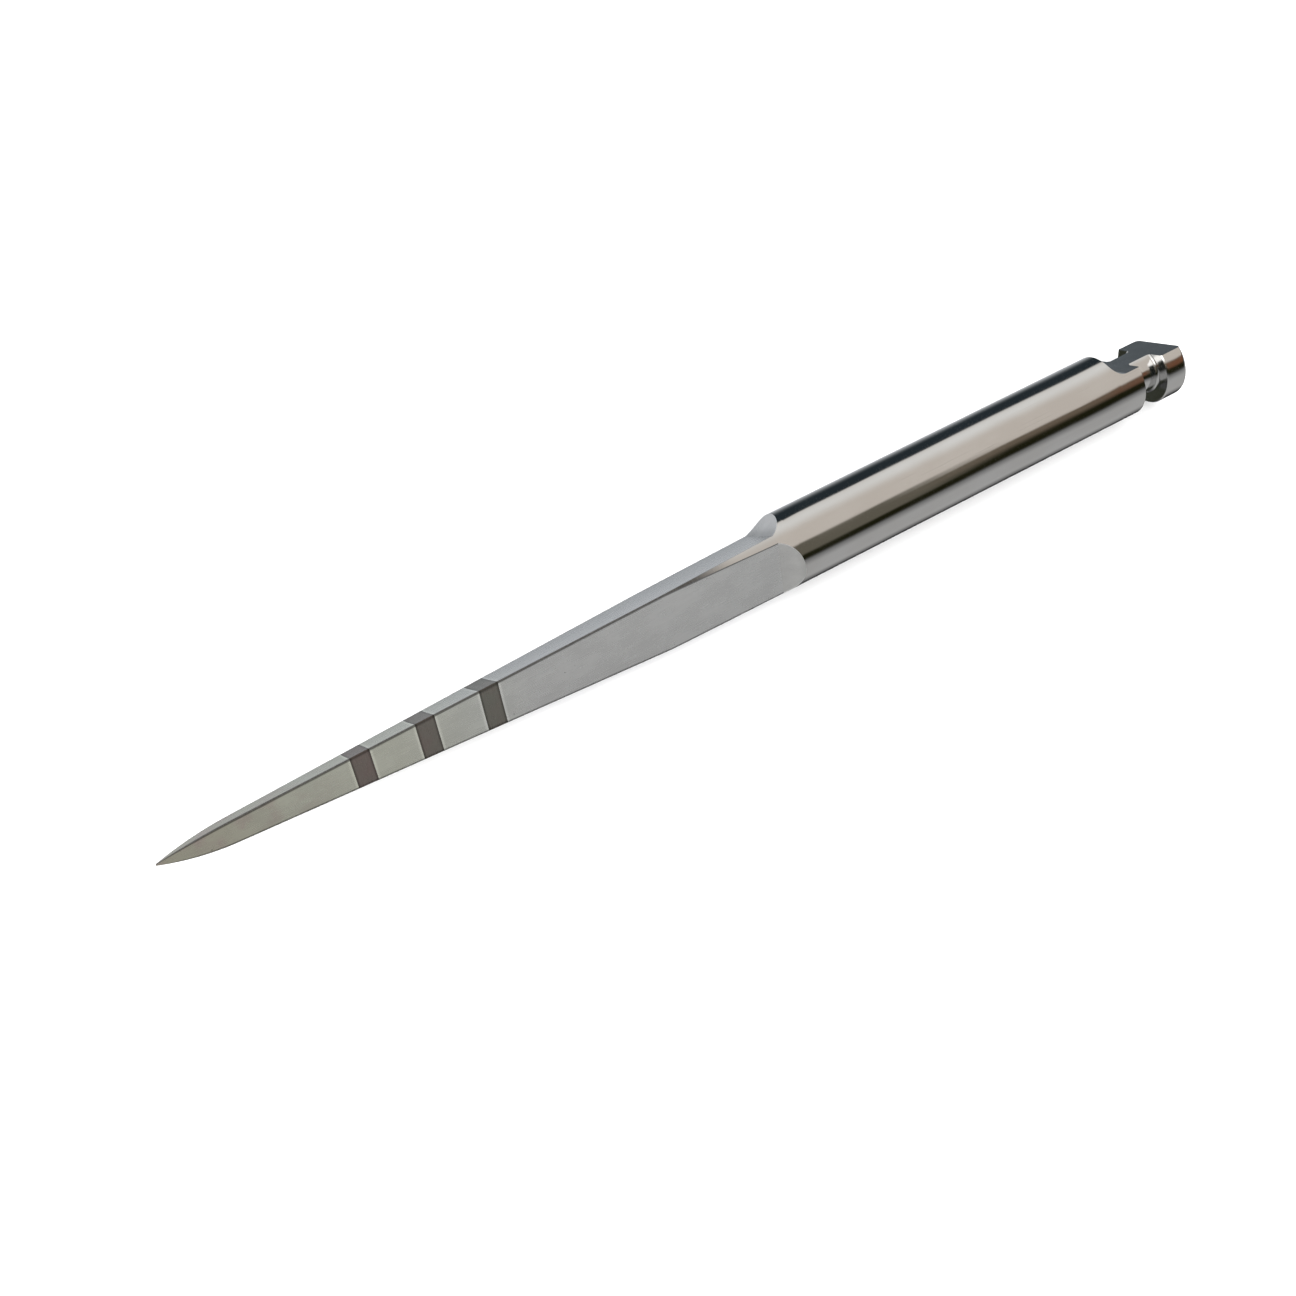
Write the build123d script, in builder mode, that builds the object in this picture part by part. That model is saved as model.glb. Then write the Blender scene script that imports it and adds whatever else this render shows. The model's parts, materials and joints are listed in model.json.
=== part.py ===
"""Latch-type rotary lance: a one-piece ground steel instrument with three laser depth marks.

Axes: +X runs along the tool from the point to the latch head, +Z is up through one edge of the
three-sided blade, +Y completes the right-handed set.  The origin lies under the middle of the
tool, on the surface that the shank rests on.  All sizes are in millimetres and all stations are
distances from the point.
"""
from build123d import *
from math import cos, radians, sin
import os

os.makedirs("parts", exist_ok=True)

# ---- Overall sizes --------------------------------------------------------------------------
TOTAL_LENGTH = 35.4
SHANK_DIAMETER = 2.35
SHANK_RADIUS = SHANK_DIAMETER / 2

# ---- Three-sided blade ----------------------------------------------------------------------
BLADE_SIDES = 3
FLAT_RISE_AT_POINT = 0.1885      # distance of a flat from the axis, drawn back to the point
FLAT_SLOPE = 0.02625             # growth of that distance per millimetre of length
EDGE_LAND_DEPTH = 0.03           # how far the turned taper cuts back the sharp edges
POINT_RADIUS = 0.03              # blunt end of the point
POINT_FLAT_DISTANCE = 0.02       # distance of a flat from the axis at that blunt end
POINT_BLEND_LENGTH = 2.2         # the flats curve in to the point over this length
FLAT_RUNOUT_START = 19.66        # the wheel starts to lift out of the steel here
RUNOUT_RADIUS = 1.35
RUNOUT_ENTRY_ANGLE = 22.6
RUNOUT_SWEEP_ANGLE = 45.0

# ---- Depth marks ----------------------------------------------------------------------------
MARK_STATIONS = (6.0, 8.0, 10.0)
MARK_WIDTH = 0.6
MARK_DEPTH = 0.03                # thickness of the marked skin, flush with the flats

# ---- Latch end ------------------------------------------------------------------------------
GROOVE_START = 33.64
GROOVE_WIDTH = 0.92
GROOVE_FLOOR_RADIUS = 0.72
GROOVE_CORNER_RADIUS = 0.10
RIM_CHAMFER = 0.04               # edge break on the two groove rims
END_ROUND_RADIUS = 0.15
DRIVE_FLAT_ANGLE = 47.8          # turned from +Z towards +Y
DRIVE_FLAT_DISTANCE = 0.57       # from the axis
DRIVE_FLAT_START = 32.68
DRIVE_FLAT_CORNER_RADIUS = 0.43

# ---- Values worked out from the above -------------------------------------------------------
EDGE_PER_FLAT = 1 / cos(radians(180 / BLADE_SIDES))   # edge distance over flat distance
CUTTER_HEIGHT = 2 * SHANK_RADIUS
CUTTER_OVERRUN = 1.0
GROOVE_END = GROOVE_START + GROOVE_WIDTH


def flat_distance(station):
    """Distance from the axis to a blade flat at a station behind the point blend."""
    return FLAT_RISE_AT_POINT + FLAT_SLOPE * station


def edge_distance(station):
    """Distance from the axis to the turned taper that breaks the blade's edges."""
    return EDGE_PER_FLAT * flat_distance(station) - EDGE_LAND_DEPTH


def radial_plane(angle):
    """Plane through the axis: local x is the station, local y points out at the angle from +Z."""
    return Plane(
        origin=(-TOTAL_LENGTH / 2, 0, SHANK_RADIUS),
        x_dir=(1, 0, 0),
        z_dir=(0, -cos(radians(angle)), sin(radians(angle))),
    )


def cross_plane(station):
    """Plane square to the axis at a station, local x pointing up, facing the latch head."""
    return Plane(
        origin=(station - TOTAL_LENGTH / 2, 0, SHANK_RADIUS),
        x_dir=(0, 0, 1),
        z_dir=(1, 0, 0),
    )


TOOL_AXIS = Axis((0, 0, SHANK_RADIUS), (1, 0, 0))
TAPER_END = (SHANK_RADIUS + EDGE_LAND_DEPTH) / EDGE_PER_FLAT
TAPER_END = (TAPER_END - FLAT_RISE_AT_POINT) / FLAT_SLOPE
FLAT_ANGLES = [180 / BLADE_SIDES + side * 360 / BLADE_SIDES for side in range(BLADE_SIDES)]

# ---- Turned and ground blank: shared by the body and the marks, which are cut from it ---------
with BuildPart() as blank:
    # Half profile of the turned bar: curved point, long taper, shank, latch groove and head.
    with BuildSketch(radial_plane(0)) as turned_profile:
        with BuildLine():
            Line((0, 0), (0, POINT_RADIUS))
            taper_start = (POINT_BLEND_LENGTH, edge_distance(POINT_BLEND_LENGTH))
            TangentArc(
                taper_start,
                (0, POINT_RADIUS),
                tangent=(-1, -EDGE_PER_FLAT * FLAT_SLOPE),
            )
            Polyline(
                taper_start,
                (TAPER_END, SHANK_RADIUS),
                (GROOVE_START - RIM_CHAMFER, SHANK_RADIUS),
                (GROOVE_START, SHANK_RADIUS - RIM_CHAMFER),
                (GROOVE_START, GROOVE_FLOOR_RADIUS + GROOVE_CORNER_RADIUS),
            )
            RadiusArc(
                (GROOVE_START, GROOVE_FLOOR_RADIUS + GROOVE_CORNER_RADIUS),
                (GROOVE_START + GROOVE_CORNER_RADIUS, GROOVE_FLOOR_RADIUS),
                -GROOVE_CORNER_RADIUS,
            )
            Line(
                (GROOVE_START + GROOVE_CORNER_RADIUS, GROOVE_FLOOR_RADIUS),
                (GROOVE_END - GROOVE_CORNER_RADIUS, GROOVE_FLOOR_RADIUS),
            )
            RadiusArc(
                (GROOVE_END - GROOVE_CORNER_RADIUS, GROOVE_FLOOR_RADIUS),
                (GROOVE_END, GROOVE_FLOOR_RADIUS + GROOVE_CORNER_RADIUS),
                -GROOVE_CORNER_RADIUS,
            )
            Polyline(
                (GROOVE_END, GROOVE_FLOOR_RADIUS + GROOVE_CORNER_RADIUS),
                (GROOVE_END, SHANK_RADIUS - RIM_CHAMFER),
                (GROOVE_END + RIM_CHAMFER, SHANK_RADIUS),
                (TOTAL_LENGTH - END_ROUND_RADIUS, SHANK_RADIUS),
            )
            RadiusArc(
                (TOTAL_LENGTH - END_ROUND_RADIUS, SHANK_RADIUS),
                (TOTAL_LENGTH, SHANK_RADIUS - END_ROUND_RADIUS),
                END_ROUND_RADIUS,
            )
            Polyline(
                (TOTAL_LENGTH, SHANK_RADIUS - END_ROUND_RADIUS),
                (TOTAL_LENGTH, 0),
                (0, 0),
            )
        make_face()
    revolve(axis=TOOL_AXIS)

    # The three flats: the wheel enters at the point, follows the slope and lifts out in an arc.
    for flat_angle in FLAT_ANGLES:
        with BuildSketch(radial_plane(flat_angle)) as wheel_path:
            with BuildLine():
                blend_end = (POINT_BLEND_LENGTH, flat_distance(POINT_BLEND_LENGTH))
                runout_start = (FLAT_RUNOUT_START, flat_distance(FLAT_RUNOUT_START))
                Line((-CUTTER_OVERRUN, POINT_FLAT_DISTANCE), (0, POINT_FLAT_DISTANCE))
                TangentArc(blend_end, (0, POINT_FLAT_DISTANCE), tangent=(-1, -FLAT_SLOPE))
                Line(blend_end, runout_start)
                lift = JernArc(
                    start=runout_start,
                    tangent=(cos(radians(RUNOUT_ENTRY_ANGLE)), sin(radians(RUNOUT_ENTRY_ANGLE))),
                    radius=RUNOUT_RADIUS,
                    arc_size=RUNOUT_SWEEP_ANGLE,
                )
                Polyline(
                    lift @ 1,
                    ((lift @ 1).X, CUTTER_HEIGHT),
                    (-CUTTER_OVERRUN, CUTTER_HEIGHT),
                    (-CUTTER_OVERRUN, POINT_FLAT_DISTANCE),
                )
            make_face()
        extrude(amount=CUTTER_HEIGHT, both=True, mode=Mode.SUBTRACT)

    # The drive flat runs from a rounded step through the groove and off the end of the head.
    with BuildSketch(radial_plane(DRIVE_FLAT_ANGLE)) as drive_flat_path:
        with BuildLine():
            Polyline(
                (DRIVE_FLAT_START, DRIVE_FLAT_DISTANCE + DRIVE_FLAT_CORNER_RADIUS),
                (DRIVE_FLAT_START, CUTTER_HEIGHT),
                (TOTAL_LENGTH + CUTTER_OVERRUN, CUTTER_HEIGHT),
                (TOTAL_LENGTH + CUTTER_OVERRUN, DRIVE_FLAT_DISTANCE),
                (DRIVE_FLAT_START + DRIVE_FLAT_CORNER_RADIUS, DRIVE_FLAT_DISTANCE),
            )
            RadiusArc(
                (DRIVE_FLAT_START + DRIVE_FLAT_CORNER_RADIUS, DRIVE_FLAT_DISTANCE),
                (DRIVE_FLAT_START, DRIVE_FLAT_DISTANCE + DRIVE_FLAT_CORNER_RADIUS),
                DRIVE_FLAT_CORNER_RADIUS,
            )
        make_face()
    extrude(amount=CUTTER_HEIGHT, both=True, mode=Mode.SUBTRACT)


def mark_zone(station):
    """Everything outside the unmarked core over one mark's width: the skin that the laser alters."""
    first = station - MARK_WIDTH / 2
    last = station + MARK_WIDTH / 2
    with BuildPart() as zone:
        with BuildSketch(cross_plane(first)):
            Circle(CUTTER_HEIGHT)
        extrude(amount=MARK_WIDTH)
        with BuildSketch(cross_plane(first)):
            RegularPolygon(EDGE_PER_FLAT * (flat_distance(first) - MARK_DEPTH), BLADE_SIDES)
        with BuildSketch(cross_plane(last)):
            RegularPolygon(EDGE_PER_FLAT * (flat_distance(last) - MARK_DEPTH), BLADE_SIDES)
        loft(mode=Mode.SUBTRACT)
    return zone.part


# ---- Body: the whole steel instrument, less the marked skin -----------------------------------
with BuildPart() as lance_body:
    add(blank.part)
    for mark_station in MARK_STATIONS:
        add(mark_zone(mark_station), mode=Mode.SUBTRACT)

lance_body.part.label = "lance_body"
export_step(lance_body.part, "parts/lance_body.step")

# ---- First depth mark, nearest the point ------------------------------------------------------
with BuildPart() as depth_mark_6:
    add(blank.part)
    add(mark_zone(MARK_STATIONS[0]), mode=Mode.INTERSECT)

depth_mark_6.part.label = "depth_mark_6"
export_step(depth_mark_6.part, "parts/depth_mark_6.step")

# ---- Second depth mark ------------------------------------------------------------------------
with BuildPart() as depth_mark_8:
    add(blank.part)
    add(mark_zone(MARK_STATIONS[1]), mode=Mode.INTERSECT)

depth_mark_8.part.label = "depth_mark_8"
export_step(depth_mark_8.part, "parts/depth_mark_8.step")

# ---- Third depth mark -------------------------------------------------------------------------
with BuildPart() as depth_mark_10:
    add(blank.part)
    add(mark_zone(MARK_STATIONS[2]), mode=Mode.INTERSECT)

depth_mark_10.part.label = "depth_mark_10"
export_step(depth_mark_10.part, "parts/depth_mark_10.step")

for piece in (lance_body, depth_mark_6, depth_mark_8, depth_mark_10):
    print(piece.part.label, round(piece.part.volume, 4), "mm3, solids:", len(piece.part.solids()))
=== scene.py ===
# %% [markdown]
# # A latch-type rotary lance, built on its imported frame
# The object is one bar of hard stainless steel, 35 mm long.  One end is ground to a
# three-sided blade with a curved point, the middle is a polished round shank, and the other
# end has the flat and the groove that a right-angle handpiece holds it by.  Three dark depth
# bands are burnt into the skin of the blade with a laser.
# The CAD model holds the true sizes.  This script builds finer skins over it, gives each
# surface the finish that its own machine leaves, and lights the tool as a small bright object
# on a pale table.

import json
import math

import bpy
import numpy as np
from mathutils import Matrix, Vector


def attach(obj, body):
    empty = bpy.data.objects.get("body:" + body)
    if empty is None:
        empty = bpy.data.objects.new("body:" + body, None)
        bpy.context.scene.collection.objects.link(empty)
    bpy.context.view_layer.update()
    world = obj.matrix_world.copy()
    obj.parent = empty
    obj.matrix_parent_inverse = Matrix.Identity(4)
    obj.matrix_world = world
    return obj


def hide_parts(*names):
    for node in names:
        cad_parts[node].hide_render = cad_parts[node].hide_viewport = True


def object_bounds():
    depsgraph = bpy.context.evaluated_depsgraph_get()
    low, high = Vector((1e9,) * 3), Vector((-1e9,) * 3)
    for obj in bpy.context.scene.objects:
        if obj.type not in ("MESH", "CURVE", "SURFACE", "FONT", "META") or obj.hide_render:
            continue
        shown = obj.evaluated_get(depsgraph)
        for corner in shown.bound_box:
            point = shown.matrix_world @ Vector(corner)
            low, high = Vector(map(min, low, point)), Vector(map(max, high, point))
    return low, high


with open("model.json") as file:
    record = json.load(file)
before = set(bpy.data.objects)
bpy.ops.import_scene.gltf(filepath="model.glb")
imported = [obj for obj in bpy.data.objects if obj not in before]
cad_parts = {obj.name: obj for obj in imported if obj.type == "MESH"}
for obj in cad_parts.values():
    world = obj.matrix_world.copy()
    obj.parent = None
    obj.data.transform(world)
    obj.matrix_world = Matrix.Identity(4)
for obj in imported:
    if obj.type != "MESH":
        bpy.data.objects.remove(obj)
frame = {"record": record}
cad_low, cad_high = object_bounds()
print("CAD box in mm:", [round(1000 * v, 3) for v in (*cad_low, *cad_high)])

# %% [markdown]
# ## Sizes
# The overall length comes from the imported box, and the shank, the drive flat and the groove
# come from the record's mounts.  The rest are the sizes that the grinder and the lathe were
# set to, in millimetres.  A station is a distance from the point.
# The tool lies along X with its axis one shank radius above the table, and an angle round it
# is counted from straight up towards +Y.

# %% Sizes read from the frame
MM = 0.001  # one millimetre in Blender's metres
mounts = {mount["name"]: mount for mount in frame["record"]["mounts"]}
LENGTH = (cad_high.x - cad_low.x) / MM
SHANK_RADIUS = mounts["shank"]["dims"]["r_mm"]


def from_axis(mount):
    """Where a mount lies: its station, its distance from the axis and its angle from straight up."""
    x, y, z = (value / MM for value in mount["pos_m"])
    z -= SHANK_RADIUS
    return x + LENGTH / 2, math.hypot(y, z), math.atan2(y, z)


_, DRIVE_FLAT_DISTANCE, DRIVE_FLAT_ANGLE = from_axis(mounts["drive_flat"])
GROOVE_MIDDLE, GROOVE_FLOOR_RADIUS, _ = from_axis(mounts["latch_groove"])
print(f"length {LENGTH:.2f}, shank radius {SHANK_RADIUS}, drive flat {DRIVE_FLAT_DISTANCE:.3f} "
      f"at {math.degrees(DRIVE_FLAT_ANGLE):.1f} degrees, groove at {GROOVE_MIDDLE:.2f}")

# %% Sizes of the blade and the latch end
BLADE_SIDES = 3
FLAT_RISE_AT_POINT = 0.1885   # a flat's distance from the axis, drawn back to the point
FLAT_SLOPE = 0.02625          # growth of that distance per millimetre
EDGE_LAND_DEPTH = 0.03        # how far the turned taper cuts back the sharp edges
POINT_RADIUS = 0.03           # the lands' distance from the axis at the very point
POINT_FLAT_DISTANCE = 0.02    # and the flats'
POINT_BLEND_LENGTH = 2.2      # the flats curve in to the point over this length
RUNOUT_START = 19.66
RUNOUT_RADIUS = 1.35
RUNOUT_ENTRY_ANGLE = math.radians(22.6)
MARK_WIDTH = 0.6
MARK_DEPTH = 0.03
MARKS = {"depth_mark_6": 6.0, "depth_mark_8": 8.0, "depth_mark_10": 10.0}

GROOVE_WIDTH = 0.92
GROOVE_CORNER_RADIUS = 0.10
RIM_CHAMFER = 0.04
END_ROUND_RADIUS = 0.15
DRIVE_FLAT_START = 32.68
DRIVE_FLAT_CORNER_RADIUS = 0.43
print(f"{BLADE_SIDES} flats, facets from station {RUNOUT_START}, bands at {list(MARKS.values())}")

# %% [markdown]
# ## One way to hold a surface
# Every skin here is a grid of points: rows run along the tool and columns run round it.  A
# grid needs no drawing by hand, because numpy works out all its points at once from the
# formula for the shape.  Neighbouring grids share their border points, so the pieces of skin
# are laid side by side, points that fall together are made one, and any face that has
# collapsed to a line is dropped.  What is left is one closed skin.

# %% Helpers: grids of points and a skin that joins them
WELD = 1.3e-5  # millimetres: points nearer than this are one point
SHARP_ANGLE = math.radians(15.5)   # faces that meet at more than this show a crisp edge


def direction(angle):
    """Unit vector(s) square to the axis at an angle from straight up: (0, sin, cos)."""
    angle = np.asarray(angle, float)
    return np.stack([np.zeros_like(angle), np.sin(angle), np.cos(angle)], -1)


def at_station(station, sideways):
    """Points whose X is the station and whose offset from the tool's axis is sideways."""
    points = np.array(sideways, float)
    points[..., 0] = np.asarray(station, float) - LENGTH / 2
    points[..., 2] += SHANK_RADIUS
    return points


def grid_quads(rows, columns, wrap_columns=False, wrap_rows=False):
    """Corner numbers of a grid's faces, turned so that row direction x column direction faces out."""
    across = np.arange(columns if wrap_columns else columns - 1)
    along = np.arange(rows if wrap_rows else rows - 1)[:, None]
    here, right = along * columns + across, along * columns + (across + 1) % columns
    ahead = (along + 1) % rows * columns
    return np.stack([here, ahead + across, ahead + (across + 1) % columns, right], -1).reshape(-1, 4)


class Skin:
    """Collects grids and joins them into one closed mesh."""

    def __init__(self):
        self.points, self.quads, self.finish, self.edge, self.count = [], [], [], [], 0

    def add(self, points, finish, edge=1.0, wrap_columns=False, wrap_rows=False):
        """Adds a grid of points.  finish is a number, or one for each column of faces.
        edge is 0 in the middle of a ground flat and 1 at its borders."""
        rows, columns = points.shape[:2]
        quads = grid_quads(rows, columns, wrap_columns, wrap_rows)
        face_rows = len(quads) // (columns if wrap_columns else columns - 1)
        finish = np.broadcast_to(finish, (face_rows, len(quads) // face_rows)).ravel()
        self.points.append(points.reshape(-1, 3))
        self.quads.append(quads + self.count)
        self.finish.append(finish)
        self.edge.append(np.broadcast_to(edge, (rows, columns)).ravel())
        self.count += rows * columns

    def build(self, name, materials):
        """Joins the grids, drops collapsed faces, and returns the finished Blender object."""
        points, quads = np.concatenate(self.points), np.concatenate(self.quads)
        finish, edge = np.concatenate(self.finish), np.concatenate(self.edge)
        keys = np.round(points / WELD).astype(np.int64)
        _, first, number = np.unique(keys, axis=0, return_index=True, return_inverse=True)
        quads = number.reshape(-1)[quads]
        doubled = quads == np.roll(quads, -1, axis=1)
        whole, cut = doubled.sum(1) == 0, doubled.sum(1) == 1
        triangles = quads[cut][~doubled[cut]].reshape(-1, 3)
        quads = quads[whole]

        mesh = bpy.data.meshes.new(name)
        mesh.from_pydata((points[first] * MM).tolist(), [], quads.tolist() + triangles.tolist())
        mesh.polygons.foreach_set("use_smooth", np.ones(len(mesh.polygons), bool))
        for material in materials:
            mesh.materials.append(material)
        worn = np.concatenate([finish[whole], finish[cut]]).astype(np.int32)
        mesh.polygons.foreach_set("material_index", worn)
        mesh_edge = mesh.attributes.new("edge", "FLOAT", "POINT")
        mesh_edge.data.foreach_set("value", edge[first].astype(np.float32))
        mesh.set_sharp_from_angle(angle=SHARP_ANGLE)
        mesh.update()
        report_closed(name, points[first], quads, triangles)
        piece = bpy.data.objects.new(name, mesh)
        bpy.context.scene.collection.objects.link(piece)
        return piece


def report_closed(name, points, quads, triangles):
    """Prints whether each edge has one face on each side, and the volume the skin holds."""
    quad_sides = [quads[:, [k, (k + 1) % 4]] for k in range(4)]
    triangle_sides = [triangles[:, [k, (k + 1) % 3]] for k in range(3)]
    sides = np.concatenate(quad_sides + triangle_sides)
    there = sides[:, 0] * len(points) + sides[:, 1]
    back = sides[:, 1] * len(points) + sides[:, 0]
    closed = len(np.unique(there)) == len(there) and np.array_equal(np.sort(there), np.sort(back))
    corners = np.concatenate([quads[:, [0, 1, 2]], quads[:, [0, 2, 3]], triangles])
    a, b, c = (points[corners[:, k]] for k in range(3))
    volume = np.einsum("ij,ij->i", a, np.cross(b, c)).sum() / 6
    print(f"{name}: {len(corners)} triangles, closed {closed}, {volume:.3f} mm3")


# %% [markdown]
# ## The blade's section
# A wheel grinds three flats, 120 degrees apart, into a turned taper.  At any station the
# section is a triangle whose corners are cut off by the circle of that taper, which leaves a
# narrow land along each edge.  So two numbers describe it: how far the flats are from the
# axis, and how far the lands are.  Both grow in a straight line along the blade, and both
# curve in to the point over the first 2.2 mm, where the tool is tilted against the wheel.

# %% The blade's two distances as functions of the station
EDGE_PER_FLAT = 1 / math.cos(math.pi / BLADE_SIDES)


def curved_in(station, value_at_point, value_at_end, slope):
    """A straight line of that slope, joined to its value at the point by one circular arc that
    is tangent to the line where the blend ends."""
    station = np.asarray(station, float)
    end = np.array([POINT_BLEND_LENGTH, value_at_end])
    normal = np.array([slope, -1.0]) / math.hypot(slope, 1.0)
    chord = np.array([0.0, value_at_point]) - end
    radius = chord @ chord / (2 * chord @ normal)
    centre = end + normal * radius
    arc = centre[1] + np.sqrt(radius**2 - (np.minimum(station, POINT_BLEND_LENGTH) - centre[0]) ** 2)
    line = value_at_end + slope * (station - POINT_BLEND_LENGTH)
    return np.where(station < POINT_BLEND_LENGTH, arc, line)


def flat_distance(station):
    """Distance from the axis to a ground flat."""
    at_end = FLAT_RISE_AT_POINT + FLAT_SLOPE * POINT_BLEND_LENGTH
    return curved_in(station, POINT_FLAT_DISTANCE, at_end, FLAT_SLOPE)


def land_radius(station):
    """Distance from the axis to the lands: the turned taper, and the shank where it is larger."""
    slope = EDGE_PER_FLAT * FLAT_SLOPE
    at_end = EDGE_PER_FLAT * (FLAT_RISE_AT_POINT + FLAT_SLOPE * POINT_BLEND_LENGTH) - EDGE_LAND_DEPTH
    return np.minimum(curved_in(station, POINT_RADIUS, at_end, slope), SHANK_RADIUS)


TAPER_END = ((SHANK_RADIUS + EDGE_LAND_DEPTH) / EDGE_PER_FLAT - FLAT_RISE_AT_POINT) / FLAT_SLOPE
blade_start, blade_end = flat_distance([POINT_BLEND_LENGTH, RUNOUT_START])
print(f"flats {blade_start:.3f} to {blade_end:.3f} mm from the axis, "
      f"full shank radius from station {TAPER_END:.2f}")

# %% [markdown]
# ## Rings round the blade
# One ring of points is laid round the blade at each station: some across each flat, more round
# each land.  The lands become the whole shank in the end, so they get the larger share.  A
# round wheel leaves a flat very slightly hollow, and that hollow bends the reflections in it.

# %% Columns round the blade
FLAT_COLUMNS = 16
LAND_COLUMNS = 36
WHEEL_RADIUS = 25.0   # the wheel's own curve leaves each flat hollow, by up to 0.02 mm
SIDE_TURN = 2 * math.pi / BLADE_SIDES
across_flat = np.linspace(-1, 1, FLAT_COLUMNS + 1)
along_land = np.linspace(0, 1, LAND_COLUMNS + 1)[1:-1]


def blade_rings(station, flats, lands):
    """One ring of points for each station.  On flat number i the point is the flat's distance
    along its normal plus a share u of its half width w along its tangent, sunk by
    w*w*(1 - u*u) over twice the wheel's radius; between two flats it is on the circle of the
    lands, at a share v of the angle from one flat's border to the next."""
    station, flats, lands = (np.atleast_1d(np.asarray(v, float)) for v in (station, flats, lands))
    half_angle = np.arccos(np.clip(flats / lands, -1, 1))[:, None]
    half_width = lands[:, None] * np.sin(half_angle)
    hollow = half_width**2 * (1 - across_flat**2) / (2 * WHEEL_RADIUS)
    depth = (flats[:, None] - hollow)[..., None]
    ring = []
    for side in range(BLADE_SIDES):
        middle = math.pi / BLADE_SIDES + side * SIDE_TURN
        normal, tangent = direction(middle), direction(middle + math.pi / 2)
        ring.append(depth * normal + (half_width * across_flat)[..., None] * tangent)
        angle = middle + half_angle + along_land * (SIDE_TURN - 2 * half_angle)
        ring.append(lands[:, None, None] * direction(angle))
    return at_station(station[:, None], np.concatenate(ring, 1))


one_side_edge = np.concatenate([np.abs(across_flat), np.ones(LAND_COLUMNS - 1)])
ring_edge = np.tile(one_side_edge, BLADE_SIDES)
print("points in one ring round the blade:", len(ring_edge))

# %% [markdown]
# ## Where the wheel lifts out
# Near the shank the wheel rises out of the steel along an arc, so each flat ends in a small
# curved facet with a rounded tip on the shank.  Its border is where the arc is as far from
# the axis as the shank's own surface.  Spacing its rows by the angle of that border keeps the
# round tip smooth.

# %% Rows of the facets
RUNOUT_ROWS = 18
border_start = math.acos(float(flat_distance(RUNOUT_START)) / SHANK_RADIUS)
border = np.linspace(border_start, 0, RUNOUT_ROWS + 1)[1:]
lift_distance = SHANK_RADIUS * np.cos(border)
lift_angle = np.arccos(
    math.cos(RUNOUT_ENTRY_ANGLE) - (lift_distance - flat_distance(RUNOUT_START)) / RUNOUT_RADIUS
)
lift_station = RUNOUT_START + RUNOUT_RADIUS * (np.sin(lift_angle) - math.sin(RUNOUT_ENTRY_ANGLE))
FACET_TIP = lift_station[-1]
print(f"the facets end at station {FACET_TIP:.2f}")

# %% [markdown]
# ## Rows along the blade
# Rows crowd towards the point, where the surface curves most, and stand wide apart on the
# straight part.  Under each depth band the rings step in to a recess, so that the band can be a
# piece of its own with its outside flush.

# %% Rows along the blade, with a recess under each depth band
TIP_ROWS = 26
TIP_CROWDING = 1.6   # 1 spaces the rows evenly, and more crowds them towards the point
ROW_STEP = 0.5


def mark_limits(station):
    """First and last station of the band in the middle of which this station lies."""
    return station - MARK_WIDTH / 2, station + MARK_WIDTH / 2


def core_distance(station):
    """Distance from the axis to the floor of a band's recess."""
    return flat_distance(station) - MARK_DEPTH


tip_rows = POINT_BLEND_LENGTH * np.linspace(0, 1, TIP_ROWS + 1) ** TIP_CROWDING
limits = [mark_limits(middle) for middle in MARKS.values()]
starts = [POINT_BLEND_LENGTH] + [end for _, end in limits]
ends = [start for start, _ in limits] + [RUNOUT_START]
stretches = list(zip(starts, ends))


def rows_between(start, end):
    """Evenly spaced rows from start to end, no further apart than the row step."""
    return np.linspace(start, end, max(2, math.ceil((end - start) / ROW_STEP) + 1))


def surface_rings(stations):
    """Rings on the ground surface at these stations."""
    return blade_rings(stations, flat_distance(stations), land_radius(stations))


def core_rings(stations):
    """Rings on the sharp-cornered core under a band, where the lands shrink to a corner."""
    core = core_distance(stations)
    return blade_rings(stations, core, EDGE_PER_FLAT * core)


blade = [surface_rings(tip_rows[:-1])]
for number, (start, end) in enumerate(stretches):
    if number:
        recess = np.array([stretches[number - 1][1], start])
        blade.append(core_rings(recess))
    blade.append(surface_rings(rows_between(start, end)))
blade = np.concatenate(blade)
lift_rings = blade_rings(lift_station, lift_distance, np.full(RUNOUT_ROWS, SHANK_RADIUS))
print("rows along the blade:", len(blade), "and up the facets:", len(lift_rings))

# %% [markdown]
# ## The shank and the step of the drive flat
# The shank is a plain cylinder, so a few rings would do.  The trick is at its far end, where
# a mill has cut the drive flat and left a step.  The step's arc needs its own points on the
# last ring.  So each ring's angles drift, from the even spacing that the facets give to the
# spacing that the step needs, and the surface stays a true cylinder all the way.

# %% Rings along the shank
SHANK_COLUMNS = BLADE_SIDES * LAND_COLUMNS
OUTER_SHARE_COLUMNS = 4    # columns of the drive flat on each side, outside the groove's floor
INNER_COLUMNS = 10         # columns between them
STEP_COLUMNS = 2 * OUTER_SHARE_COLUMNS + INNER_COLUMNS
GROOVE_START = GROOVE_MIDDLE - GROOVE_WIDTH / 2
GROOVE_END = GROOVE_MIDDLE + GROOVE_WIDTH / 2
rim_radius = SHANK_RADIUS - RIM_CHAMFER
corner_top = GROOVE_FLOOR_RADIUS + GROOVE_CORNER_RADIUS


def half_width(radius, distance=DRIVE_FLAT_DISTANCE):
    """Half the width of a flat at that distance from the axis, on a bar of that radius."""
    return np.sqrt(np.asarray(radius, float) ** 2 - np.asarray(distance, float) ** 2)


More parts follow.
